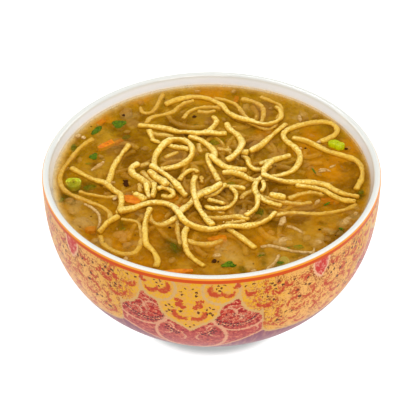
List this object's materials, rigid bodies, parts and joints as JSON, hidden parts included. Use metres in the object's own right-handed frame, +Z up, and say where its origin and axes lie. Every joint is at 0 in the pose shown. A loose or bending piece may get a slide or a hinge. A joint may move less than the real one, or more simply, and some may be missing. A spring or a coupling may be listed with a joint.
{
  "type": "bowl of chicken manchow soup",
  "caption": "Round printed porcelain bowl on a foot ring, filled nearly to the lip with thickened brown broth, crisp fried noodles, herbs, spring onion, carrot and chicken; stands on a table.",
  "frame": {"origin": "middle of the foot ring's underside, on the surface the bowl stands on", "axes": "+Z up through the bowl's middle, -Y towards the front of the picture, +X to its right"},
  "size_m": [0.13, 0.13, 0.0626],
  "materials": {
    "printed_porcelain": "glossy white glaze inside and on the lip, printed gold and red ornament outside",
    "broth": "wet, glossy, cloudy amber-brown thickened broth",
    "fried_noodle": "golden deep-fried noodle, finely blistered, with a thin oily sheen",
    "spring_onion": "fresh cut green, moist",
    "herb_leaf": "dark green thin leaf, moist",
    "carrot": "cooked orange carrot, moist",
    "chicken": "pale cooked chicken stained by the broth, moist"
  },
  "bodies": {
    "root": {"bowl": "printed_porcelain", "soup": "broth", "fried_noodles": "fried_noodle", "spring_onion_left": "spring_onion", "spring_onion_right": "spring_onion", "spring_onion_front": "spring_onion", "herb_leaf_back": "herb_leaf", "herb_leaf_left": "herb_leaf", "herb_leaf_back_left": "herb_leaf", "herb_leaf_front": "herb_leaf", "herb_leaf_front_right": "herb_leaf", "carrot_left": "carrot", "carrot_front": "carrot", "carrot_back": "carrot", "chicken_left": "chicken", "chicken_front_left": "chicken", "chicken_front": "chicken", "chicken_front_right": "chicken", "chicken_right": "chicken", "chicken_back_right": "chicken", "chicken_back_left": "chicken"}
  },
  "joints": []
}
